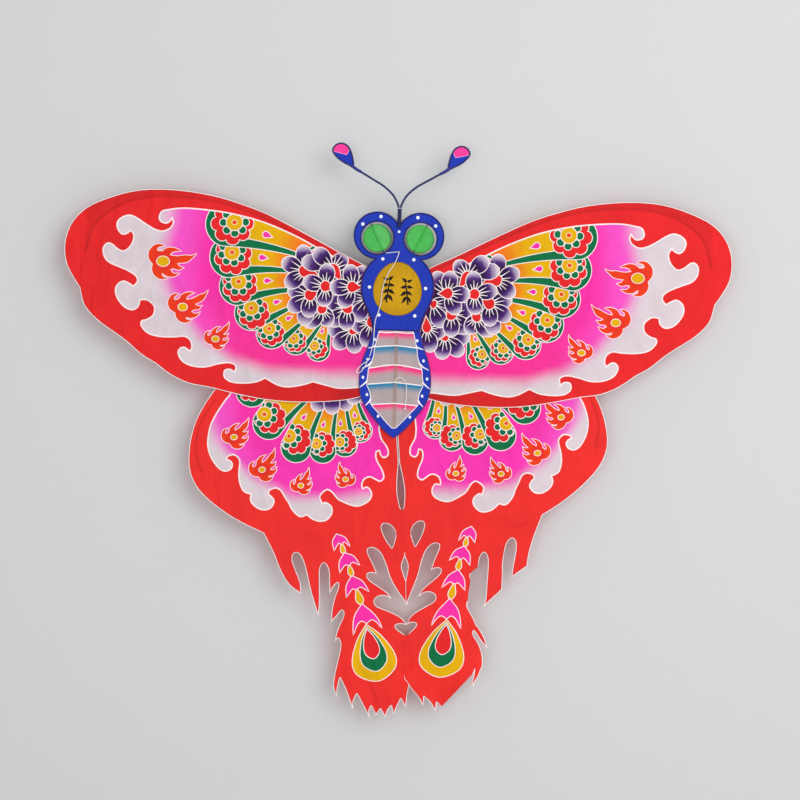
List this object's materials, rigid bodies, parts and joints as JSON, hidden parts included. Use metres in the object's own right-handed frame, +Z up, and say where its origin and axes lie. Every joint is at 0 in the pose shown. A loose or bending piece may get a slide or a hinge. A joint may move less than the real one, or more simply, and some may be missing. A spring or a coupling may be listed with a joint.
{
  "type": "butterfly kite",
  "caption": "Painted-silk butterfly kite on a bamboo frame, with folding wings, wind-driven eyes, sprung feelers and a thread bridle.",
  "frame": {"origin": "on the flat back of the spine, level with the middle of the thorax", "axes": "+X to the right as seen from the front, +Z up towards the feelers, -Y out of the painted front"},
  "size_m": [0.799, 0.015, 0.6876],
  "materials": {
    "bamboo": "split and scraped, satin",
    "silk": "thin hand-painted silk, slightly shiny",
    "skin": "hand-painted silk over the body frame",
    "thread": "twisted cotton thread, matt",
    "vinyl": "soft clear-grey tube",
    "wire": "thin wire wrapped in dark paper",
    "foil": "thin folded foil disc"
  },
  "bodies": {
    "root": {"spine": "bamboo", "thorax_hoop": "bamboo", "thorax_skin": "skin", "abdomen_skin": "skin", "antenna_stem": "wire", "tail_lashing": "thread", "upper_bridle": "thread", "lower_bridle": "thread", "bridle_knot": "thread", "tow_loop": "thread", "lower_bridle_knot": "thread", "brow_stick": "bamboo", "brow_lashing": "thread", "cheek_stick": "bamboo", "cheek_lashing": "thread", "shoulder_stick": "bamboo", "shoulder_lashing": "thread", "waist_stick": "bamboo", "waist_lashing": "thread", "left_eye_hoop": "bamboo", "left_abdomen_stick": "bamboo", "left_eye_axle": "wire", "left_shoulder_socket": "vinyl", "left_waist_socket": "vinyl", "right_eye_hoop": "bamboo", "right_abdomen_stick": "bamboo", "right_eye_axle": "wire", "right_shoulder_socket": "vinyl", "right_waist_socket": "vinyl"},
    "left_wing": {"left_upper_silk": "silk", "left_lower_silk": "silk", "left_upper_spar": "bamboo", "left_lower_spar": "bamboo", "left_upper_tip_pocket": "silk", "left_lower_tip_pocket": "silk", "left_inner_tie": "thread", "left_outer_tie": "thread"},
    "left_spinner": {"left_eye_spinner": "foil"},
    "left_antenna": {"left_antenna_wire": "wire", "left_antenna_skin": "skin"},
    "right_wing": {"right_upper_silk": "silk", "right_lower_silk": "silk", "right_upper_spar": "bamboo", "right_lower_spar": "bamboo", "right_upper_tip_pocket": "silk", "right_lower_tip_pocket": "silk", "right_inner_tie": "thread", "right_outer_tie": "thread"},
    "right_spinner": {"right_eye_spinner": "foil"},
    "right_antenna": {"right_antenna_wire": "wire", "right_antenna_skin": "skin"}
  },
  "joints": [
    {"name": "left_wing_fold", "type": "hinge", "parent": "root", "child": "left_wing", "pos_m": [-0.036, -0.0026, 0], "axis": [0, 0, -1], "range_deg": [0, 80], "stiffness_Nm_per_rad": 0.05},
    {"name": "right_wing_fold", "type": "hinge", "parent": "root", "child": "right_wing", "pos_m": [0.036, -0.0026, 0], "axis": [0, 0, 1], "range_deg": [0, 80], "stiffness_Nm_per_rad": 0.05},
    {"name": "left_eye_spin", "type": "hinge", "parent": "root", "child": "left_spinner", "pos_m": [-0.0258, -0.0086, 0.061], "axis": [-0.4226, 0, 0.9063], "continuous": true},
    {"name": "right_eye_spin", "type": "hinge", "parent": "root", "child": "right_spinner", "pos_m": [0.0258, -0.0086, 0.061], "axis": [0.4226, 0, 0.9063], "continuous": true},
    {"name": "left_antenna_sway", "type": "hinge", "parent": "root", "child": "left_antenna", "pos_m": [0, -0.01205, 0.0973], "axis": [1, 0, 0], "range_deg": [-15, 15], "stiffness_Nm_per_rad": 0.01},
    {"name": "right_antenna_sway", "type": "hinge", "parent": "root", "child": "right_antenna", "pos_m": [0, -0.01205, 0.0973], "axis": [1, 0, 0], "range_deg": [-15, 15], "stiffness_Nm_per_rad": 0.01}
  ]
}
